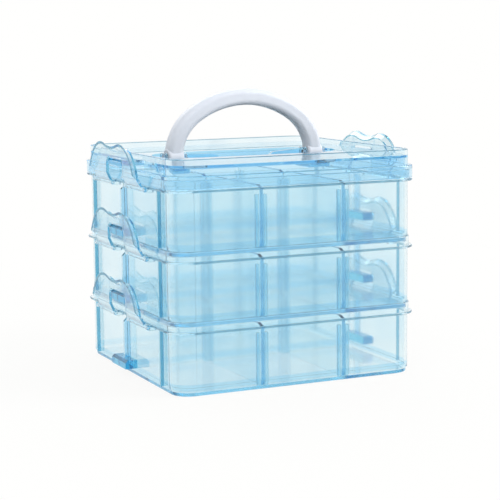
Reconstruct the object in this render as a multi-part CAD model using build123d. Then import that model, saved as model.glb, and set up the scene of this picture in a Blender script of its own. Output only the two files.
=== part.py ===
from build123d import *
import os
from math import atan2, degrees, radians, tan

os.makedirs("parts", exist_ok=True)

# Craft storage box: three clear trays stacked under a lid with a carrying handle.
# Each tray holds six compartments, and a pair of flip latches ties each seam of the stack.
# Millimetres. X runs along the front, Y to the back and Z up.
# The origin is under the middle of the base.

# Tray shell
tray_names = ["bottom", "middle", "top"]
tray_half_x = 74.9
tray_half_y = 73.1
corner_radius = 12.0
wall = 1.6
floor_thickness = 1.8
tray_pitch = 38.75
foot_height = 3.0
foot_clearance = 0.25
seat_gap = 0.1
foot_edge_round = 0.7
rim_step = 0.7
rim_wall = 1.4
step_below_foot = 0.3
rim_round = 0.5
ledge_reach = 2.6
ledge_thickness = 1.2
ledge_level = 35.5
ledge_round = 0.4
side_rib_y = 53.5
side_rib_thickness = 1.4
side_rib_reach = 2.1
side_rib_lift = 0.5

# Walls and dividers inside a tray
centre_wall = 1.6
centre_wall_y = 6.0
centre_wall_top = 37.6
left_slot_x = -22.5
right_slot_x = 28.5
slot_gap = 3.0
slot_rib = 1.8
slot_rib_depth = 2.4
slot_rib_top = 32.0
divider_thickness = 2.0
divider_top = 37.0
divider_end_clearance = 0.35
divider_corner_run = 5.0
divider_corner_drop = 1.8
divider_round = 0.5

# Catches that the latches close over, and the upright fin above each catch
catch_half_width = 11.5
catch_reach = 7.3
catch_low = 5.2
catch_high = 10.2
lid_catch_low = 7.0
catch_slope = 1.4
fin_thickness = 2.0
fin_reach = 3.7
fin_top = 33.2

# Latch and its hinge on the ledge
hinge_gap = 0.3
hinge_drop = 0.9
barrel_radius = 1.3
pin_radius = 0.8
pin_clearance = 0.09
pin_length = 2.2
knuckle_radius = 1.5
knuckle_width = 2.4
knuckle_gap = 0.4
latch_thickness = 1.6
latch_inner_offset = 1.7
latch_bend_height = 5.6
latch_flare_reach = 2.4
latch_flare_angle = 38.0
latch_flare_wall = 1.4
latch_foot_half = 40.1
latch_tail = 10.0
latch_dip_height = 21.8
latch_dip_radius = 33.8
latch_dip_turn = 16.1
latch_hump_radius = 21.4
latch_hump_turn = 65.5
latch_flank_radius = 39.8
latch_flank_turn = 29.5
window_half_width = 13.4
window_corner = 4.6
catch_play = 1.2

# Lid
lid_top_above_base = 14.25
lid_wall = 1.5
skirt_wall = 1.5
skirt_clearance = 0.4
skirt_above_ledge = 0.5
lid_edge_round = 0.5
shoulder_thickness = 2.15
panel_recess = 3.5
panel_thickness = 1.4
well_half_length = 57.5
well_half_width = 23.0
well_depth = 5.0
well_wall = 1.4

# Handle and its pockets in the lid
pivot_above_base = 8.95
leg_half_spacing = 45.3
handle_rise = 34.9
handle_shoulder_radius = 30.2
handle_width = 9.6
handle_depth = 10.0
handle_round = 3.2
hub_radius = 6.0
hub_round = 1.2
hub_side_clearance = 0.6
hub_below_clearance = 0.8
handle_pin_radius = 2.0
handle_pin_clearance = 0.1
pocket_end_clearance = 2.0
cheek_thickness = 1.4
cheek_above_pivot = 3.4
cheek_half_width = 4.6
gusset_length = 28.0
gusset_top_length = 21.0
gusset_end_height = 4.5
gusset_thickness = 2.4

# How far a cutting shape runs past the surface it opens
overcut = 1.0

# Sizes that follow from the ones above
wall_inner_x = tray_half_x - wall
wall_inner_y = tray_half_y - wall
rim_outer_x = tray_half_x + rim_step
rim_outer_y = tray_half_y + rim_step
rim_inner_x = rim_outer_x - rim_wall
rim_inner_y = rim_outer_y - rim_wall
rim_top = tray_pitch + foot_height - seat_gap
foot_half_x = rim_inner_x - foot_clearance
foot_half_y = rim_inner_y - foot_clearance
foot_corner = corner_radius - (tray_half_x - foot_half_x)
ledge_half_x = tray_half_x + ledge_reach
ledge_half_y = tray_half_y + ledge_reach
ledge_low = ledge_level - ledge_thickness / 2
ledge_high = ledge_level + ledge_thickness / 2
shoulder_inside = foot_height + wall
hinge_x = ledge_half_x + hinge_gap + barrel_radius
hinge_level = ledge_level - hinge_drop
lid_base = tray_pitch * len(tray_names)
lid_top = lid_base + lid_top_above_base
panel_top = lid_top - panel_recess
well_floor = panel_top - well_depth
pivot_level = lid_base + pivot_above_base
latch_window_top = tray_pitch + catch_high + catch_play - hinge_level


def rounded_slab(half_x, half_y, radius, low, high):
    """A plate with rounded corners, between two heights."""
    outline = RectangleRounded(2 * half_x, 2 * half_y, radius)
    return Pos(0, 0, low) * extrude(outline, high - low)


def block(x_range, y_range, z_range):
    """A plain block between two corners."""
    size = [high - low for low, high in (x_range, y_range, z_range)]
    middle = [(high + low) / 2 for low, high in (x_range, y_range, z_range)]
    return Pos(*middle) * Box(*size)


def both_sides(shape):
    """A shape on the right-hand side and its mirror image on the left."""
    return shape + mirror(shape, about=Plane.YZ)


def rod_along_y(radius, x, z, y_range):
    """A round rod that runs front to back."""
    length = y_range[1] - y_range[0]
    return Pos(x, sum(y_range) / 2, z) * Rot(90, 0, 0) * Cylinder(radius, length)


def rod_along_x(radius, y, z, x_range):
    """A round rod that runs left to right."""
    length = x_range[1] - x_range[0]
    return Pos(sum(x_range) / 2, y, z) * Rot(0, 90, 0) * Cylinder(radius, length)


def plate_facing_y(points, y_range):
    """A flat plate whose outline is given as X and Z, as thick as the Y range."""
    outline = make_face(Polyline(*[(x, 0, z) for x, z in points], close=True))
    thickness = y_range[1] - y_range[0]
    return Pos(0, sum(y_range) / 2, 0) * extrude(outline, thickness / 2, dir=(0, 1, 0), both=True)


def plate_facing_x(points, x_range):
    """A flat plate whose outline is given as Y and Z, as thick as the X range."""
    outline = make_face(Polyline(*[(0, y, z) for y, z in points], close=True))
    thickness = x_range[1] - x_range[0]
    return Pos(sum(x_range) / 2, 0, 0) * extrude(outline, thickness / 2, dir=(1, 0, 0), both=True)


def catch(low):
    """A solid catch with a sloped nose on the right-hand wall."""
    nose = tray_half_x + catch_reach
    root = tray_half_x - wall / 2
    side_view = [
        (root, low),
        (nose, low),
        (nose, catch_high - catch_slope),
        (nose - catch_slope, catch_high),
        (root, catch_high),
    ]
    return plate_facing_y(side_view, (-catch_half_width, catch_half_width))


def fin():
    """The upright fin on the right-hand wall, above the catch."""
    root = tray_half_x - wall / 2
    tip = tray_half_x + fin_reach
    low = catch_high - catch_slope
    side_view = [
        (root, low),
        (tip, low),
        (tip, fin_top - fin_reach / 2),
        (tip - fin_reach / 2, fin_top),
        (root, fin_top),
    ]
    return plate_facing_y(side_view, (-fin_thickness / 2, fin_thickness / 2))


def side_ribs():
    """Upright ribs on the right-hand wall, ahead of the latch and behind it."""
    rib = block(
        (tray_half_x - wall / 2, tray_half_x + side_rib_reach),
        (side_rib_y - side_rib_thickness / 2, side_rib_y + side_rib_thickness / 2),
        (foot_height + side_rib_lift, ledge_level),
    )
    return rib + mirror(rib, about=Plane.XZ)


def knuckle_ranges():
    """Front-to-back extents of the four hinge knuckles on one ledge."""
    inner = (window_half_width - knuckle_gap - knuckle_width, window_half_width - knuckle_gap)
    outer = (latch_foot_half + knuckle_gap, latch_foot_half + knuckle_gap + knuckle_width)
    ahead = [inner, outer]
    return ahead + [(-high, -low) for low, high in ahead]


def knuckles():
    """Hinge knuckles that stand out from the right-hand ledge."""
    solids = []
    for y_range in knuckle_ranges():
        arm = block(
            (tray_half_x - wall / 2, hinge_x),
            y_range,
            (hinge_level - knuckle_radius, hinge_level + knuckle_radius),
        )
        solids.append(arm + rod_along_y(knuckle_radius, hinge_x, hinge_level, y_range))
    return solids[0] + solids[1:]


def slot_ribs(x, y_range):
    """A pair of upright ribs that hold one end of a divider."""
    ribs = []
    for side in (-1, 1):
        centre = x + side * (slot_gap + slot_rib) / 2
        x_range = (centre - slot_rib / 2, centre + slot_rib / 2)
        ribs.append(block(x_range, y_range, (floor_thickness / 2, slot_rib_top)))
    return ribs


def tray():
    """One tray, standing on its foot at height zero."""
    foot = rounded_slab(foot_half_x, foot_half_y, foot_corner, 0, foot_height + wall / 2)
    foot = fillet(foot.edges().group_by(Axis.Z)[0], foot_edge_round)
    body = rounded_slab(tray_half_x, tray_half_y, corner_radius, foot_height, ledge_high)
    ledge = rounded_slab(ledge_half_x, ledge_half_y, corner_radius + ledge_reach, ledge_low, ledge_high)
    ledge = fillet(ledge.edges().group_by(Axis.Z)[0] + ledge.edges().group_by(Axis.Z)[-1], ledge_round)
    rim = rounded_slab(rim_outer_x, rim_outer_y, corner_radius + rim_step, ledge_level, rim_top)
    shell = foot + body + ledge + rim
    foot_corner_inside = foot_corner - wall
    rim_corner_inside = corner_radius + rim_step - rim_wall
    step_level = tray_pitch - step_below_foot
    shell -= rounded_slab(
        foot_half_x - wall, foot_half_y - wall, foot_corner_inside, floor_thickness, shoulder_inside
    )
    shell -= rounded_slab(wall_inner_x, wall_inner_y, corner_radius - wall, shoulder_inside, tray_pitch)
    shell -= rounded_slab(rim_inner_x, rim_inner_y, rim_corner_inside, step_level, rim_top + overcut)
    shell = fillet(shell.edges().group_by(Axis.Z)[-1], rim_round)
    shell += block(
        (-wall_inner_x - wall / 2, wall_inner_x + wall / 2),
        (centre_wall_y - centre_wall / 2, centre_wall_y + centre_wall / 2),
        (floor_thickness / 2, centre_wall_top),
    )
    at_front = (-wall_inner_y - wall / 2, -wall_inner_y + slot_rib_depth)
    at_back = (wall_inner_y - slot_rib_depth, wall_inner_y + wall / 2)
    rib_run = centre_wall / 2 + slot_rib_depth
    at_centre = (centre_wall_y - rib_run, centre_wall_y + rib_run)
    ribs = []
    for x in (left_slot_x, right_slot_x):
        for y_range in (at_front, at_centre, at_back):
            ribs += slot_ribs(x, y_range)
    shell += ribs
    shell += both_sides(catch(catch_low) + fin())
    shell += both_sides(side_ribs())
    hinge = knuckles()
    shell += both_sides(hinge)
    bore = rod_along_y(pin_radius + pin_clearance, hinge_x, hinge_level, (-tray_half_y, tray_half_y))
    return shell - both_sides(bore)


def divider(x, row_side):
    """One removable cross divider: row side -1 stands in the front row and 1 in the back row."""
    outer = row_side * (wall_inner_y - divider_end_clearance)
    outer_foot = row_side * (foot_half_y - wall - divider_end_clearance)
    inner = centre_wall_y + row_side * (centre_wall / 2 + divider_end_clearance)
    run = row_side * divider_corner_run
    step = shoulder_inside + divider_end_clearance
    base = floor_thickness + seat_gap
    outline = [
        (outer_foot, base),
        (inner, base),
        (inner, divider_top - divider_corner_drop),
        (inner + run, divider_top),
        (outer - run, divider_top),
        (outer, divider_top - divider_corner_drop),
        (outer, step),
        (outer_foot, step),
    ]
    plate = plate_facing_x(outline, (x - divider_thickness / 2, x + divider_thickness / 2))
    top_edges = plate.edges().filter_by(Axis.Y).group_by(Axis.Z)[-1]
    return fillet(top_edges, divider_round)


def latch_outline():
    """The bell shape of a latch, seen from the side of the box, running on below its hinge."""
    dip = JernArc((0, latch_dip_height), (1, 0), latch_dip_radius, latch_dip_turn)
    hump = JernArc(dip @ 1, dip % 1, latch_hump_radius, -latch_hump_turn)
    flank = JernArc(hump @ 1, hump % 1, latch_flank_radius, -latch_flank_turn)
    foot = flank @ 1
    low = -latch_tail
    leg = Line(foot, (foot.X, low))
    right = [dip, hump, flank, leg]
    left = [mirror(line, about=Plane.YZ) for line in right]
    base = Line((-foot.X, low), (foot.X, low))
    return Plane.YZ * make_face(right + left + [base])


def flare_inset(depth):
    """How far the flared edge of a latch has drawn in at a depth below its tip."""
    return depth * tan(radians(latch_flare_angle))


def flare(outline, tip, depth):
    """A bell-shaped plug whose sides draw in from its outer face towards the box."""
    drawn_in = offset(outline, -flare_inset(depth))
    return loft([Pos(tip, 0, 0) * outline, Pos(tip - depth, 0, 0) * drawn_in], ruled=True)


def latch():
    """One flip latch, closed, with its hinge line on the origin and the box to its left."""
    outline = latch_outline()
    inner = latch_inner_offset
    outer = inner + latch_thickness
    tip = outer + latch_flare_reach
    root = latch_thickness / 2
    top = 2 * latch_dip_height
    section = [
        (-root, 0),
        (root, 0),
        (outer, latch_bend_height),
        (outer, top),
        (inner, top),
        (inner, latch_bend_height),
    ]
    sheet = plate_facing_y(section, (-latch_foot_half, latch_foot_half))
    face_outline = offset(outline, -flare_inset(latch_flare_reach + latch_thickness / 2))
    plate = sheet & extrude(face_outline, tip, both=True)
    above_bend = [
        (inner, latch_bend_height),
        (outer, latch_bend_height),
        (tip, latch_bend_height + latch_flare_reach),
        (tip, top),
        (inner, top),
    ]
    room = plate_facing_y(above_bend, (-latch_foot_half, latch_foot_half))
    dish = flare(outline, tip, tip - inner) & room
    pocket = flare(offset(outline, -latch_flare_wall), tip, latch_flare_reach)
    plate += dish - pocket
    window = block(
        (-tip, tip), (-window_half_width, window_half_width), (-latch_window_top, latch_window_top)
    )
    window = fillet(window.edges().filter_by(Axis.X).group_by(Axis.Z)[-1], window_corner)
    plate -= window
    for y_range in ((window_half_width, latch_foot_half), (-latch_foot_half, -window_half_width)):
        plate += rod_along_y(barrel_radius, 0, 0, y_range)
        plate += rod_along_y(pin_radius, 0, 0, (y_range[0] - pin_length, y_range[1] + pin_length))
    return plate


def well_outline(extra):
    """The long oval of the well in the lid, grown by a margin."""
    return SlotOverall(2 * (well_half_length + extra), 2 * (well_half_width + extra))


def handle_cheek(x_range):
    """An upright cheek with a round top that carries one handle pin."""
    low = well_floor - well_wall / 2
    upright = block(x_range, (-cheek_half_width, cheek_half_width), (low, pivot_level))
    top = rod_along_x(cheek_half_width, 0, pivot_level, x_range)
    ceiling = block(x_range, (-cheek_half_width, cheek_half_width), (low, pivot_level + cheek_above_pivot))
    return upright + (top & ceiling)


def lid():
    """The lid, in its place on the top tray."""
    shoulder_low = lid_base + foot_height
    shoulder_high = shoulder_low + shoulder_thickness
    skirt_low = lid_base - tray_pitch + ledge_high + skirt_above_ledge
    skirt_inner_x = rim_outer_x + skirt_clearance
    skirt_inner_y = rim_outer_y + skirt_clearance
    skirt_corner = corner_radius + rim_step + skirt_clearance
    skirt_outer_x = skirt_inner_x + skirt_wall
    skirt_outer_y = skirt_inner_y + skirt_wall
    skirt = rounded_slab(skirt_outer_x, skirt_outer_y, skirt_corner + skirt_wall, skirt_low, shoulder_high)
    skirt -= rounded_slab(skirt_inner_x, skirt_inner_y, skirt_corner, skirt_low - overcut, shoulder_low)
    skirt_edges = skirt.edges().group_by(Axis.Z)
    skirt = fillet(skirt_edges[0] + skirt_edges[-1], lid_edge_round)
    shell = skirt + rounded_slab(tray_half_x, tray_half_y, corner_radius, shoulder_low, lid_top)
    inner_x = tray_half_x - lid_wall
    inner_y = tray_half_y - lid_wall
    inner_corner = corner_radius - lid_wall
    panel_underside = panel_top - panel_thickness
    shell -= rounded_slab(inner_x, inner_y, inner_corner, panel_top, lid_top + overcut)
    shell = fillet(shell.edges().group_by(Axis.Z)[-1], lid_edge_round)
    shell -= rounded_slab(inner_x, inner_y, inner_corner, shoulder_low - overcut, panel_underside)
    tub_base = well_floor - well_wall
    shell += Pos(0, 0, tub_base) * extrude(well_outline(well_wall), panel_top - tub_base)

    hub_half = handle_width / 2 + hub_side_clearance
    pocket_x = (leg_half_spacing - hub_half, leg_half_spacing + hub_half)
    pocket_y = hub_radius + pocket_end_clearance
    pocket_floor = pivot_level - hub_radius - hub_below_clearance
    pocket_shell = block(
        (pocket_x[0] - well_wall, pocket_x[1] + well_wall),
        (-pocket_y - well_wall, pocket_y + well_wall),
        (pocket_floor - well_wall, well_floor),
    )
    pocket_room = block(pocket_x, (-pocket_y, pocket_y), (pocket_floor, panel_top))
    shell += both_sides(pocket_shell)
    shell -= Pos(0, 0, well_floor) * extrude(well_outline(0), lid_top - well_floor)
    shell -= both_sides(pocket_room)

    inner_cheek = (pocket_x[0] - cheek_thickness, pocket_x[0])
    outer_cheek = (pocket_x[1], pocket_x[1] + cheek_thickness)
    gusset_root = inner_cheek[0] + cheek_thickness / 2
    gusset = plate_facing_y(
        [
            (gusset_root, well_floor - well_wall / 2),
            (gusset_root, pivot_level + cheek_above_pivot),
            (gusset_root - gusset_top_length, well_floor + gusset_end_height),
            (gusset_root - gusset_length, well_floor - well_wall / 2),
        ],
        (-gusset_thickness / 2, gusset_thickness / 2),
    )
    shell += both_sides(handle_cheek(inner_cheek) + handle_cheek(outer_cheek) + gusset)
    bore_radius = handle_pin_radius + handle_pin_clearance
    bore = rod_along_x(bore_radius, 0, pivot_level, (inner_cheek[0], outer_cheek[1]))
    shell -= both_sides(bore)
    shell += Pos(0, 0, lid_base) * both_sides(catch(lid_catch_low))
    return shell


def handle_band(margin):
    """The arch of the handle as three arcs, at a distance from its centre line."""
    side_x = leg_half_spacing - handle_shoulder_radius
    spare = handle_rise - handle_shoulder_radius
    drop = (side_x**2 - spare**2) / (2 * spare)
    crown_radius = handle_rise + drop
    meeting = degrees(atan2(drop, side_x))
    shoulder = handle_shoulder_radius + margin
    right = CenterArc((side_x, 0), shoulder, 0, meeting)
    crown = CenterArc((0, -drop), crown_radius + margin, meeting, 180 - 2 * meeting)
    left = CenterArc((-side_x, 0), shoulder, 180 - meeting, meeting)
    return [right, crown, left]


def handle():
    """The arch handle, upright, with a hub and two pins on each leg."""
    half = handle_width / 2
    leg_inner = leg_half_spacing - half
    leg_outer = leg_half_spacing + half
    ends = [Line((leg_inner, 0), (leg_outer, 0)), Line((-leg_inner, 0), (-leg_outer, 0))]
    outline = make_face(handle_band(half) + handle_band(-half) + ends)
    arch = extrude(outline, handle_depth / 2, both=True)
    long_edges = arch.edges().filter_by(GeomType.CIRCLE)
    arch = fillet(long_edges, handle_round)
    arch = Pos(0, 0, pivot_level) * Rot(90, 0, 0) * arch
    pin_reach = hub_side_clearance + cheek_thickness
    hub = rod_along_x(hub_radius, 0, pivot_level, (leg_inner, leg_outer))
    hub = fillet(hub.edges().filter_by(GeomType.CIRCLE), hub_round)
    pin_x = (leg_inner - pin_reach, leg_outer + pin_reach)
    pin = rod_along_x(handle_pin_radius, 0, pivot_level, pin_x)
    return arch + both_sides(hub + pin)


def write_part(name, shape):
    """Write one named piece and print its size."""
    solids = shape.solids()
    piece = solids[0] if len(solids) == 1 else Compound(children=list(solids))
    size = piece.bounding_box().size
    extent = f"{size.X:.1f} x {size.Y:.1f} x {size.Z:.1f} mm"
    print(f"{name}: {len(solids)} solid, {piece.volume:.0f} mm3, {extent}")
    export_step(piece, f"parts/{name}.step")


tray_solid = tray()
latch_solid = latch()
for tier, tier_name in enumerate(tray_names):
    base = tier * tray_pitch
    write_part(f"tray_{tier_name}", Pos(0, 0, base) * tray_solid)
    right_latch = Pos(hinge_x, 0, base + hinge_level) * latch_solid
    write_part(f"latch_{tier_name}_right", right_latch)
    write_part(f"latch_{tier_name}_left", mirror(right_latch, about=Plane.YZ))
    for row, row_side in (("front", -1), ("back", 1)):
        for column, x in (("left", left_slot_x), ("right", right_slot_x)):
            write_part(f"divider_{tier_name}_{row}_{column}", Pos(0, 0, base) * divider(x, row_side))
write_part("lid", lid())
write_part("handle", handle())
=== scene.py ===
# %% [markdown]
# # A clear blue craft storage box
#
# The real box is three injection-moulded trays of clear blue polystyrene, stacked under a lid of the
# same plastic with a white carrying handle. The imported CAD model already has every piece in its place
# and in metres, so this lesson adds what the eye needs: the camera of the photograph, soft studio light
# and materials that behave as the real plastics do.

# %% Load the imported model
from math import cos, radians, sin

import bpy
from mathutils import Matrix, Vector

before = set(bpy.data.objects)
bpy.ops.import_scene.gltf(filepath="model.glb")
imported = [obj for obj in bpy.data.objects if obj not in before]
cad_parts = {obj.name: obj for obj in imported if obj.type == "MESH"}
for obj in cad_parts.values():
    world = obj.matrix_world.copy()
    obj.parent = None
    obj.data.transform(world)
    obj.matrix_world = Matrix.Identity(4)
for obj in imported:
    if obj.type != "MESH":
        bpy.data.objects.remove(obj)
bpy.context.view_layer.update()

print("pieces in the box:", len(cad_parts))

# %% [markdown]
# ## The camera
#
# A product photograph is taken with a long lens from a little above the table. The view direction is
# held as two angles, a turn to the left of straight-on and a tilt down, with a small roll, because
# these are what a photographer would set. The field of view comes from the focal length as it is
# measured in picture widths. A straight-on look would hide the side latches, so the turn matters most.

# %% Place the camera
VIEW_TURN = radians(24.343)
VIEW_TILT = radians(7.848)
VIEW_ROLL = radians(0.654)
VIEW_DISTANCE = 0.92592
VIEW_TARGET = Vector((0, 0, 0.0706))
PICTURE_PIXELS = 500
FOCAL_PIXELS = 1537.77
AXIS_PIXEL = Vector((245.32, 245.84))
SENSOR_WIDTH = 36.0
CLIP_NEAR, CLIP_FAR = 0.05, 20


def camera_axes():
    """The right, up and forward directions of the camera."""
    forward = Vector((sin(VIEW_TURN) * cos(VIEW_TILT), cos(VIEW_TURN) * cos(VIEW_TILT), -sin(VIEW_TILT)))
    level_right = Vector((cos(VIEW_TURN), -sin(VIEW_TURN), 0))
    level_up = level_right.cross(forward)
    right = level_right * cos(VIEW_ROLL) - level_up * sin(VIEW_ROLL)
    up = level_right * sin(VIEW_ROLL) + level_up * cos(VIEW_ROLL)
    middle = PICTURE_PIXELS / 2
    aim = forward * FOCAL_PIXELS + right * (middle - AXIS_PIXEL.x) + up * (AXIS_PIXEL.y - middle)
    aim.normalize()
    right = (right - aim * right.dot(aim)).normalized()
    return forward, right, right.cross(aim), aim


def add_camera():
    """The scene's camera, at the photograph's viewpoint."""
    view, right, up, aim = camera_axes()
    data = bpy.data.cameras.new("product_camera")
    data.sensor_width = SENSOR_WIDTH
    data.lens = SENSOR_WIDTH * FOCAL_PIXELS / PICTURE_PIXELS
    data.clip_start = CLIP_NEAR
    data.clip_end = CLIP_FAR
    camera = bpy.data.objects.new("product_camera", data)
    place = VIEW_TARGET - view * VIEW_DISTANCE
    turn = Matrix((right, up, -aim)).transposed().to_4x4()
    camera.matrix_world = Matrix.Translation(place) @ turn
    bpy.context.scene.collection.objects.link(camera)
    bpy.context.scene.camera = camera
    return camera


camera = add_camera()
bpy.context.scene.view_settings.view_transform = "Standard"
print("lens", round(camera.data.lens, 1), "mm at", [round(v, 3) for v in camera.location])

# %% [markdown]
# ## Helpers for materials
#
# A colour picked from a chart is stored for the screen, while light adds up on a straight scale. One
# function turns a hex colour into the straight scale. One more function adds any shader node with its
# settings and its links, so that each material below reads as a short recipe.


# %% Colour and node helpers
def to_linear(hex_colour):
    """A screen colour such as "#88AACC" as linear red, green, blue and alpha."""
    values = [int(hex_colour[i:i + 2], 16) / 255 for i in (1, 3, 5)]
    straight = [v / 12.92 if v <= 0.04045 else ((v + 0.055) / 1.055) ** 2.4 for v in values]
    return (*straight, 1.0)


def add_node(tree, kind, settings=None, links=None):
    """Add a shader node, set its properties or sockets by name or number, and link its inputs."""
    node = tree.nodes.new(kind)
    for name, value in (settings or {}).items():
        if isinstance(name, str) and hasattr(node, name):
            setattr(node, name, value)
        else:
            node.inputs[name].default_value = value
    for name, source in (links or {}).items():
        tree.links.new(source, node.inputs[name])
    return node


def empty_material(name):
    """A new material with no nodes in it yet."""
    material = bpy.data.materials.new(name)
    material.use_nodes = True
    material.node_tree.nodes.clear()
    return material


print("white in linear light:", to_linear("#FFFFFF"))

# %% [markdown]
# ## Studio floor
#
# The photograph was taken on a white sweep that is overexposed to almost pure white, with hardly any
# shadow. A flat sheet of pale matt paper could give that only with far too much light on the box. So the
# rays that look at the paper see it mostly as white, and a small share stays real paper near the box,
# which keeps the faint soft shadow. The light that the paper gives back to the box isn't changed.
#
# The floor lies a tenth of a millimetre below the box, so that no two faces lie in the same place.

# %% Build the floor
FLOOR_COLOUR = "#F7F7F6"
STUDIO_WHITE = "#FFFFFE"
FLOOR_SIZE = 6.0
FLOOR_GAP = 0.0001
FLOOR_GLOW_NEAR = 0.92
FADE_FROM = 0.16
FADE_TO = 0.45
PAPER_ROUGHNESS = 0.9
FIBRES_PER_METRE = 900.0


def looking_rays(tree):
    """Whether a ray is the camera's own, and whether it was mirrored or bent on its way."""
    path = add_node(tree, "ShaderNodeLightPath")
    bent = add_node(
        tree, "ShaderNodeMath", {"operation": "MAXIMUM"},
        {0: path.outputs["Is Glossy Ray"], 1: path.outputs["Is Transmission Ray"]},
    )
    return path.outputs["Is Camera Ray"], bent.outputs[0]


def add_floor():
    """A large flat floor under the box, matt paper that looks white, most of all away from the box."""
    half = FLOOR_SIZE / 2
    mesh = bpy.data.meshes.new("studio_floor")
    corners = [(-half, -half, 0), (half, -half, 0), (half, half, 0), (-half, half, 0)]
    mesh.from_pydata(corners, [], [(0, 1, 2, 3)])
    floor = bpy.data.objects.new("studio_floor", mesh)
    floor.location.z = -FLOOR_GAP
    bpy.context.scene.collection.objects.link(floor)
    material = empty_material("matt_paper_sweep")
    tree = material.node_tree
    place = add_node(tree, "ShaderNodeNewGeometry")
    fibre = add_node(
        tree, "ShaderNodeTexNoise", {"Scale": FIBRES_PER_METRE, "Detail": 3.0},
        {"Vector": place.outputs["Position"]},
    )
    bump = add_node(
        tree, "ShaderNodeBump", {"Strength": 0.05, "Distance": 0.0002}, {"Height": fibre.outputs["Fac"]}
    )
    surface = add_node(
        tree, "ShaderNodeBsdfPrincipled",
        {"Base Color": to_linear(FLOOR_COLOUR), "Roughness": PAPER_ROUGHNESS},
        {"Normal": bump.outputs["Normal"]},
    )
    glow = add_node(tree, "ShaderNodeEmission", {"Color": to_linear(STUDIO_WHITE), "Strength": 1.0})
    from_camera, bent = looking_rays(tree)
    seen = add_node(tree, "ShaderNodeMath", {"operation": "MAXIMUM"}, {0: from_camera, 1: bent})
    distance = add_node(
        tree, "ShaderNodeVectorMath", {"operation": "LENGTH"}, {"Vector": place.outputs["Position"]}
    )
    glow_share = add_node(
        tree, "ShaderNodeMapRange",
        {"From Min": FADE_FROM, "From Max": FADE_TO, "To Min": FLOOR_GLOW_NEAR, "To Max": 1.0},
        {"Value": distance.outputs["Value"]},
    )
    share = add_node(
        tree, "ShaderNodeMath", {"operation": "MULTIPLY"},
        {0: seen.outputs[0], 1: glow_share.outputs["Result"]},
    )
    mixed = add_node(
        tree, "ShaderNodeMixShader", {}, {0: share.outputs[0], 1: surface.outputs["BSDF"], 2: glow.outputs[0]}
    )
    add_node(tree, "ShaderNodeOutputMaterial", {}, {"Surface": mixed.outputs[0]})
    mesh.materials.append(material)
    return floor


floor = add_floor()
print("floor of", FLOOR_SIZE, "metres, below the box by", FLOOR_GAP * 1000, "mm")

# %% [markdown]
# ## Sky and ceiling
#
# An even sky lights the box from all round, at a level at which colours come out as they are written.
# To the camera and in reflections it is the white of the sweep.
#
# Clear plastic is drawn by its edges. An edge bends light by a large angle, so it shows some other part
# of the room than the sweep behind it. The ceiling of a studio is darker than the sweep, and it has to
# be darker here too, or the edges would vanish. Only bent and mirrored rays see that ceiling.

# %% Build the sky
SKY_LIGHT = 0.66
CEILING_COLOUR = "#4F8CA6"
CEILING_FROM = 0.35
CEILING_TO = 0.75


def add_sky():
    """An even white sky with a darker ceiling in reflections, and a gentler light on matt surfaces."""
    world = bpy.data.worlds.new("studio_sky")
    world.use_nodes = True
    tree = world.node_tree
    tree.nodes.clear()
    from_camera, bent = looking_rays(tree)
    direction = add_node(tree, "ShaderNodeTexCoord").outputs["Generated"]
    height = add_node(tree, "ShaderNodeSeparateXYZ", {}, {"Vector": direction}).outputs["Z"]
    overhead = add_node(
        tree, "ShaderNodeMapRange", {"From Min": CEILING_FROM, "From Max": CEILING_TO}, {"Value": height}
    )
    light = add_node(tree, "ShaderNodeBackground", {"Color": to_linear("#FFFFFF"), "Strength": SKY_LIGHT})
    white = add_node(tree, "ShaderNodeBackground", {"Color": to_linear(STUDIO_WHITE), "Strength": 1.0})
    ceiling = add_node(tree, "ShaderNodeBackground", {"Color": to_linear(CEILING_COLOUR), "Strength": 1.0})
    room = add_node(
        tree, "ShaderNodeMixShader", {},
        {0: overhead.outputs["Result"], 1: white.outputs[0], 2: ceiling.outputs[0]},
    )
    lit = add_node(tree, "ShaderNodeMixShader", {}, {0: bent, 1: light.outputs[0], 2: room.outputs[0]})
    seen = add_node(
        tree, "ShaderNodeMixShader", {}, {0: from_camera, 1: lit.outputs[0], 2: white.outputs[0]}
    )
    add_node(tree, "ShaderNodeOutputWorld", {}, {"Surface": seen.outputs[0]})
    bpy.context.scene.world = world


add_sky()
print("sky light", SKY_LIGHT)

# %% [markdown]
# ## Softboxes
#
# Three large square lamps give the gentle light and shade that shows the roundness of the handle. The
# strongest one stands on the right, because the handle of the photograph is brightest there.

# %% Set up the softboxes
BOX_MIDDLE = (0, 0, 0.07)
SOFTBOXES = {
    "softbox_left": {"place": (-0.9, -0.9, 1.1), "size": 0.9, "watts": 4},
    "softbox_right": {"place": (1.1, -0.6, 0.8), "size": 0.8, "watts": 11},
    "softbox_back": {"place": (0.2, 1.2, 1.0), "size": 0.9, "watts": 5},
}


def add_softbox(name, place, size, watts):
    """A large square lamp that points at the box."""
    data = bpy.data.lights.new(name, "AREA")
    data.shape = "SQUARE"
    data.size = size
    data.energy = watts
    lamp = bpy.data.objects.new(name, data)
    turn = (Vector(BOX_MIDDLE) - Vector(place)).to_track_quat("-Z", "Y")
    lamp.matrix_world = Matrix.Translation(place) @ turn.to_matrix().to_4x4()
    bpy.context.scene.collection.objects.link(lamp)
    return lamp


for name, settings in SOFTBOXES.items():
    add_softbox(name, **settings)
print("softboxes:", len(SOFTBOXES))

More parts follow.
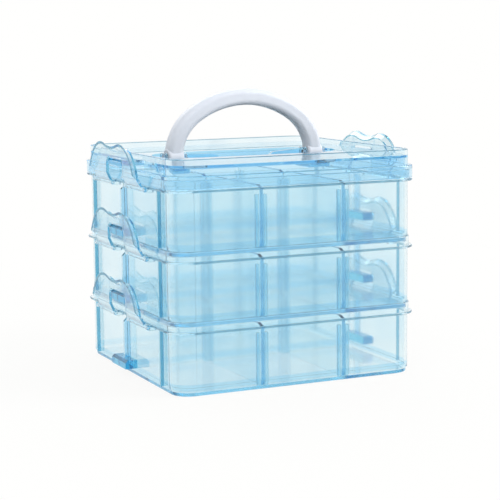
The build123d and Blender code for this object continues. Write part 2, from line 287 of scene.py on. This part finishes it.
# %% [markdown]
# ## Clear blue polystyrene
#
# The trays, the lid, the latches and the dividers are injection-moulded from clear polystyrene with a
# blue dye. Its index of refraction is about 1.59. Light goes through it in two ways:
#
# - Across a wall, only a millimetre or two, it picks up a pale tint. That tint sits on the surface
#   colour, so three or four walls in a row add up to the sky blue of the photograph.
# - Along a wall, a rib or a rim it is trapped and travels many centimetres, so edges look a strong blue.
#   Dye in the depth of the plastic gives that. Too much of it would turn the edges black.
#
# Moulded walls are never optically flat. A slow wave left by the flow of the melt bends what is seen
# through them, and a faint haze blurs what lies far behind. Handling adds hairline scuffs.

# %% Places and masks
MM_PER_METRE = 1000.0
MIX_FIRST, MIX_SECOND, MIX_RESULT = 6, 7, 2


def millimetres(tree):
    """The place on the piece in millimetres, whole and as X, Y and Z, riding along with the piece."""
    place = add_node(tree, "ShaderNodeTexCoord").outputs["Object"]
    scaled = add_node(
        tree, "ShaderNodeVectorMath", {"operation": "SCALE", "Scale": MM_PER_METRE}, {"Vector": place}
    )
    parts = add_node(tree, "ShaderNodeSeparateXYZ", {}, {"Vector": scaled.outputs[0]})
    return scaled.outputs[0], parts.outputs["X"], parts.outputs["Y"], parts.outputs["Z"]


def distance_from(tree, value, middle):
    """How far a number is from a middle, to either side."""
    offset = add_node(tree, "ShaderNodeMath", {"operation": "SUBTRACT", 1: middle}, {0: value})
    return add_node(tree, "ShaderNodeMath", {"operation": "ABSOLUTE"}, {0: offset.outputs[0]}).outputs[0]


def within(tree, *limits):
    """1 where every value lies between its two limits, and 0 elsewhere."""
    mask = None
    for value, low, high in limits:
        middle, reach = (low + high) / 2, (high - low) / 2
        between = add_node(
            tree, "ShaderNodeMath", {"operation": "COMPARE", 1: middle, 2: reach}, {0: value}
        ).outputs[0]
        if mask is None:
            mask = between
        else:
            both = add_node(tree, "ShaderNodeMath", {"operation": "MULTIPLY"}, {0: mask, 1: between})
            mask = both.outputs[0]
    return mask


print("masks are worked out in millimetres, from metres times", MM_PER_METRE)

# %% Hairline scuffs
SCUFF_WIDTH_MM = 0.3
SCUFF_LENGTH_MM = 12.0
SCUFF_SLANT = (radians(20), radians(35), radians(15))
SCUFF_FROM, SCUFF_FULL = 0.74, 0.8


def hairline_scuffs(tree, place):
    """Long thin marks in one slanting direction, as a number from 0 to 1."""
    size = (1 / SCUFF_WIDTH_MM, 1 / SCUFF_LENGTH_MM, 1 / SCUFF_LENGTH_MM)
    slanted = add_node(
        tree, "ShaderNodeMapping", {"Rotation": SCUFF_SLANT, "Scale": size}, {"Vector": place}
    )
    marks = add_node(
        tree, "ShaderNodeTexNoise", {"Scale": 1.0, "Detail": 1.0}, {"Vector": slanted.outputs[0]}
    )
    return add_node(
        tree, "ShaderNodeMapRange", {"From Min": SCUFF_FROM, "From Max": SCUFF_FULL},
        {"Value": marks.outputs["Fac"]},
    ).outputs["Result"]


print("scuffs are", SCUFF_LENGTH_MM, "mm long")

# %% Make the clear plastic
POLYSTYRENE_IOR = 1.59
WALL_TINTS = ("#EBF8FD", "#F4FCFE")
TINT_FROM, TINT_TO = 0.35, 0.65
DYE_COLOUR = "#97E4F7"
DYE_DENSITY = 12.5
FLOW_WAVE_MM = 30.0
SKIN_GRAIN_MM = 1.2
SCUFF_ROUGHNESS = 0.12


def flow_tint(tree, waves):
    """The tint of a wall, which varies slowly with the flow of the melt."""
    ramp = add_node(tree, "ShaderNodeValToRGB", {}, {"Fac": waves})
    for stop, place, colour in zip(ramp.color_ramp.elements, (TINT_FROM, TINT_TO), WALL_TINTS):
        stop.position = place
        stop.color = to_linear(colour)
    return ramp.outputs["Color"]


def clear_polystyrene(name, haze, tints_and_painted_edges):
    """Clear blue polystyrene; the last argument, called with (tree, x, y, z), gives pairs of a mask and a
    tint, each a deeper dye blue or a painted edge shade.
    """
    material = empty_material(name)
    tree = material.node_tree
    place, x, y, z = millimetres(tree)
    waves = add_node(
        tree, "ShaderNodeTexNoise", {"Scale": 1 / FLOW_WAVE_MM, "Detail": 1.0}, {"Vector": place}
    ).outputs["Fac"]
    grain = add_node(
        tree, "ShaderNodeTexNoise", {"Scale": 1 / SKIN_GRAIN_MM, "Detail": 2.0}, {"Vector": place}
    ).outputs["Fac"]
    tint = flow_tint(tree, waves)
    # Each place's tint goes over the wall tint: a deeper dye blue, or a painted edge shade.
    for mask, tint_or_edge_shade in tints_and_painted_edges(tree, x, y, z):
        tint = add_node(
            tree, "ShaderNodeMix", {"data_type": "RGBA", MIX_SECOND: to_linear(tint_or_edge_shade)},
            {"Factor": mask, MIX_FIRST: tint},
        ).outputs[MIX_RESULT]
    wave_bump = add_node(
        tree, "ShaderNodeBump", {"Strength": 0.2, "Distance": 0.0003}, {"Height": waves}
    )
    grain_bump = add_node(
        tree, "ShaderNodeBump", {"Strength": 0.03, "Distance": 0.00003},
        {"Height": grain, "Normal": wave_bump.outputs["Normal"]},
    )
    skin = add_node(
        tree, "ShaderNodeMapRange", {"From Min": 0.3, "From Max": 0.7, "To Min": haze, "To Max": 1.5 * haze},
        {"Value": grain},
    )
    polish = add_node(
        tree, "ShaderNodeMath", {"operation": "MULTIPLY_ADD", 1: SCUFF_ROUGHNESS},
        {0: hairline_scuffs(tree, place), 2: skin.outputs["Result"]},
    )
    surface = add_node(
        tree, "ShaderNodeBsdfPrincipled", {"IOR": POLYSTYRENE_IOR, "Transmission Weight": 1.0},
        {"Base Color": tint, "Roughness": polish.outputs[0], "Normal": grain_bump.outputs["Normal"]},
    )
    depth = add_node(
        tree, "ShaderNodeVolumeAbsorption", {"Color": to_linear(DYE_COLOUR), "Density": DYE_DENSITY}
    )
    add_node(
        tree, "ShaderNodeOutputMaterial", {},
        {"Surface": surface.outputs["BSDF"], "Volume": depth.outputs["Volume"]},
    )
    return material


print("polystyrene with an index of refraction of", POLYSTYRENE_IOR)

# %% [markdown]
# ### Where the plastic is thick, and the painted edge shade
#
# The catches, fins, ribs and rims are thicker than a wall, or are seen along their length, so they look a
# deeper blue. Volume dye alone can't give all of that here, because enough of it would turn the edges
# black. So each thick place also gets a deeper surface tint, matched to the photograph. The edges of the
# ledges, of the lid's rim and skirt and of the latches get a dark teal, partly the dye seen along the edge
# and partly painted shade for the darker room that an edge shows by bending light. The ribs on the front
# wall look bluer there than those behind them, and the tints follow that.
#
# The places are in millimetres, as they lie in the model. Both sides of the box mirror each other, so a
# distance from the middle serves both. All three trays are one moulding, so the height is folded back to
# that of one tray.

# %% Tints, painted edge shade and the tray
TRAY_PITCH_MM = 38.75
ANY_CLOSER = -1
SLOT_MIDDLE_MM, SLOT_HALF_MM = 3.0, 25.5
SLOT_RIB_HALF_MM = 3.4
SLOT_RIB_HEIGHTS_MM = (1.9, 32.2)
FRONT_RIB_MM, BACK_RIB_MM = (-71.45, -69.0), (69.0, 71.45)
CENTRE_WALL_MM = 6.0
CENTRE_RIB_MM = (0.85, 3.3)
FLOOR_EDGE_HEIGHTS_MM = (3.0, 6.6)
LEDGE_HEIGHTS_MM = (34.8, 36.2)
LEDGE_SIDE_MM, LEDGE_FRONT_MM = (77.3, 78.0), (75.5, 76.2)
SIDE_RIB_REACH_MM, SIDE_RIB_ALONG_MM, SIDE_RIB_HEIGHTS_MM = (75.0, 77.2), (52.7, 54.3), (3.3, 35.0)
FIN_REACH_MM, FIN_HALF_MM, FIN_HEIGHTS_MM = (75.0, 79.0), 1.1, (10.3, 33.4)
CATCH_REACH_MM, CATCH_HALF_MM, CATCH_HEIGHTS_MM = (75.0, 83.0), 11.7, (5.0, 10.3)
RIB_BLUE = "#A0D8EE"
INNER_RIB_BLUE = "#C4E6F4"
FLOOR_EDGE_BLUE = "#D2F0FC"
SIDE_RIB_BLUE = "#78BBD4"
FIN_BLUE = "#BCE2F6"
CATCH_BLUE = "#38A9D8"
# Painted edge shade: a dark teal for the darker room that a bending edge shows.
PAINTED_EDGE_SHADE = "#6F9CAE"


def tray_tints_and_painted_edges(tree, x, y, z):
    """The floor's edge, slot ribs, ledge edges with painted shade, side ribs, fins and catches of a tray."""
    side = distance_from(tree, x, 0)
    along = distance_from(tree, y, 0)
    height = add_node(
        tree, "ShaderNodeMath", {"operation": "FLOORED_MODULO", 1: TRAY_PITCH_MM}, {0: z}
    ).outputs[0]
    from_slot = distance_from(tree, distance_from(tree, x, SLOT_MIDDLE_MM), SLOT_HALF_MM)
    from_centre = distance_from(tree, y, CENTRE_WALL_MM)
    in_slot = (from_slot, -SLOT_RIB_HALF_MM, SLOT_RIB_HALF_MM)
    rib_height = (height, *SLOT_RIB_HEIGHTS_MM)
    ledge_height = (height, *LEDGE_HEIGHTS_MM)
    yield within(tree, (height, *FLOOR_EDGE_HEIGHTS_MM)), FLOOR_EDGE_BLUE
    yield within(tree, (y, *FRONT_RIB_MM), in_slot, rib_height), RIB_BLUE
    yield within(tree, (y, *BACK_RIB_MM), in_slot, rib_height), INNER_RIB_BLUE
    yield within(tree, (from_centre, *CENTRE_RIB_MM), in_slot, rib_height), INNER_RIB_BLUE
    # Painted shade: the ledge edges get the dark teal line that a bending edge shows.
    yield within(tree, (side, *LEDGE_SIDE_MM), ledge_height), PAINTED_EDGE_SHADE
    yield within(tree, (along, *LEDGE_FRONT_MM), ledge_height), PAINTED_EDGE_SHADE
    side_rib = ((side, *SIDE_RIB_REACH_MM), (along, *SIDE_RIB_ALONG_MM), (height, *SIDE_RIB_HEIGHTS_MM))
    yield within(tree, *side_rib), SIDE_RIB_BLUE
    fin = ((side, *FIN_REACH_MM), (along, ANY_CLOSER, FIN_HALF_MM), (height, *FIN_HEIGHTS_MM))
    yield within(tree, *fin), FIN_BLUE
    catch = ((side, *CATCH_REACH_MM), (along, ANY_CLOSER, CATCH_HALF_MM), (height, *CATCH_HEIGHTS_MM))
    yield within(tree, *catch), CATCH_BLUE


tray_plastic = clear_polystyrene("clear_blue_polystyrene_tray", 0.06, tray_tints_and_painted_edges)
print(tray_plastic.name, "has", len(tray_plastic.node_tree.nodes), "nodes")

# %% [markdown]
# ### The lid and the latches
#
# The lid's raised rim and skirt end in edges that look dark teal, partly from the dye and partly from painted
# shade, and its side is a clear blue. The pockets that hold the handle's feet show through it. A latch is a
# bell-shaped plate with a flared edge, and that edge draws its outline in painted teal shade, as do the
# upright edges of its window in blue.

# %% The lid, latches and dividers
LID_SIDE_HEIGHTS_MM = (113.0, 126.9)
LID_RIM_HEIGHTS_MM = (130.0, 131.0)
LID_SKIRT_HEIGHTS_MM = (112.0, 113.6)
LID_CATCH_HEIGHTS_MM = (123.0, 126.6)
POCKET_REACH_MM, POCKET_HALF_MM, POCKET_HEIGHTS_MM = (38.0, 53.0), 9.6, (116.5, 121.9)
LATCH_REACH_MM = (78.5, 86.5)
LATCH_EDGE_MM = (84.6, 86.0)
WINDOW_EDGE_MM = (13.2, 13.5)
LID_SIDE_BLUE = "#D2EEFC"
LATCH_TINT = "#E2F1F6"
# Painted edge shade on the latches: teal on the flare's outer edge, blue on the window's upright edges.
LATCH_PAINTED_EDGE_SHADE = "#3E8CA6"
WINDOW_PAINTED_EDGE_SHADE = "#4AA3CC"


def lid_tints_and_painted_edges(tree, x, y, z):
    """The side, rim edge, skirt edge, handle pockets and catches of the lid, with painted shade on the rim
    and skirt edges.
    """
    side = distance_from(tree, x, 0)
    along = distance_from(tree, y, 0)
    yield within(tree, (z, *LID_SIDE_HEIGHTS_MM)), LID_SIDE_BLUE
    # Painted shade: the rim and skirt edges get the same dark teal line.
    yield within(tree, (z, *LID_RIM_HEIGHTS_MM)), PAINTED_EDGE_SHADE
    yield within(tree, (z, *LID_SKIRT_HEIGHTS_MM)), PAINTED_EDGE_SHADE
    pocket = ((side, *POCKET_REACH_MM), (along, ANY_CLOSER, POCKET_HALF_MM), (z, *POCKET_HEIGHTS_MM))
    yield within(tree, *pocket), RIB_BLUE
    catch = ((side, *CATCH_REACH_MM), (along, ANY_CLOSER, CATCH_HALF_MM), (z, *LID_CATCH_HEIGHTS_MM))
    yield within(tree, *catch), CATCH_BLUE


def latch_tints_and_painted_edges(tree, x, y, z):
    """The plate of a latch, and painted shade on the outer edge of its flare and the upright edges of its
    window.
    """
    side = distance_from(tree, x, 0)
    yield within(tree, (side, *LATCH_REACH_MM)), LATCH_TINT
    # Painted shade: dark lines on the flare's outer edge and on the window's upright edges.
    yield within(tree, (side, *LATCH_EDGE_MM)), LATCH_PAINTED_EDGE_SHADE
    yield within(tree, (distance_from(tree, y, 0), *WINDOW_EDGE_MM)), WINDOW_PAINTED_EDGE_SHADE


def no_thick_places(tree, x, y, z):
    """A plain flat plate."""
    return []


lid_plastic = clear_polystyrene("clear_blue_polystyrene_lid", 0.03, lid_tints_and_painted_edges)
latch_plastic = clear_polystyrene("clear_blue_polystyrene_latch", 0.03, latch_tints_and_painted_edges)
divider_plastic = clear_polystyrene("clear_blue_polystyrene_divider", 0.03, no_thick_places)
for plastic in (lid_plastic, latch_plastic, divider_plastic):
    print(plastic.name, "has", len(plastic.node_tree.nodes), "nodes")

# %% [markdown]
# ### Dress the pieces
#
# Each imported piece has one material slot, and assigning to it leaves the shape alone. Light has to cross
# many clear walls to reach the camera, so its path is allowed to be long.

# %% Give the clear pieces their material
LONGEST_PATH = 128
CLEAR_PLASTICS = {
    "tray": tray_plastic, "lid": lid_plastic, "latch": latch_plastic, "divider": divider_plastic,
}


def dress(node_name, material):
    """Give a CAD piece its material."""
    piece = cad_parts[node_name]
    piece.data.materials.clear()
    piece.data.materials.append(material)


clear_pieces = [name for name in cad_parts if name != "handle"]
for node_name in clear_pieces:
    dress(node_name, CLEAR_PLASTICS[node_name.split("_")[0]])
print("clear plastic on", len(clear_pieces), "pieces")

bounces = bpy.context.scene.cycles
bounces.max_bounces = LONGEST_PATH
bounces.transmission_bounces = LONGEST_PATH
bounces.glossy_bounces = LONGEST_PATH

# %% [markdown]
# ## White polypropylene handle
#
# The handle is moulded from white polypropylene, which is softer and less glassy than the box. Its skin
# has a fine even texture from the mould, so highlights spread out. A little light enters the surface
# and comes out again, which the soft lavender shade of the photograph shows.

# %% Make the handle
HANDLE_TONES = ("#E8EEFA", "#F0F4FE")
MOULD_TEXTURE_MM = 0.6
TONE_PATCH_MM = 16.0
POLYPROPYLENE_IOR = 1.49
GLOW_DEPTH = {"Subsurface Weight": 0.15, "Subsurface Radius": (1.0, 1.0, 1.0), "Subsurface Scale": 0.002}


def white_polypropylene():
    """White polypropylene with a fine mould texture."""
    material = empty_material("white_polypropylene_moulded")
    tree = material.node_tree
    place = millimetres(tree)[0]
    grain = add_node(
        tree, "ShaderNodeTexNoise", {"Scale": 1 / MOULD_TEXTURE_MM, "Detail": 3.0}, {"Vector": place}
    )
    cloud = add_node(
        tree, "ShaderNodeTexNoise", {"Scale": 1 / TONE_PATCH_MM, "Detail": 2.0}, {"Vector": place}
    )
    tone = add_node(tree, "ShaderNodeValToRGB", {}, {"Fac": cloud.outputs["Fac"]})
    tone.color_ramp.elements[0].color = to_linear(HANDLE_TONES[0])
    tone.color_ramp.elements[1].color = to_linear(HANDLE_TONES[1])
    bump = add_node(
        tree, "ShaderNodeBump", {"Strength": 0.15, "Distance": 0.00005}, {"Height": grain.outputs["Fac"]}
    )
    polish = add_node(
        tree, "ShaderNodeMapRange", {"To Min": 0.32, "To Max": 0.48}, {"Value": grain.outputs["Fac"]}
    )
    surface = add_node(
        tree, "ShaderNodeBsdfPrincipled",
        {"IOR": POLYPROPYLENE_IOR, **GLOW_DEPTH},
        {
            "Base Color": tone.outputs["Color"],
            "Roughness": polish.outputs["Result"],
            "Normal": bump.outputs["Normal"],
        },
    )
    add_node(tree, "ShaderNodeOutputMaterial", {}, {"Surface": surface.outputs["BSDF"]})
    return material


dress("handle", white_polypropylene())
print("handle dressed in white polypropylene")

# %% [markdown]
# ## Finish
#

# %% Finish
print("the box is dressed and lit")
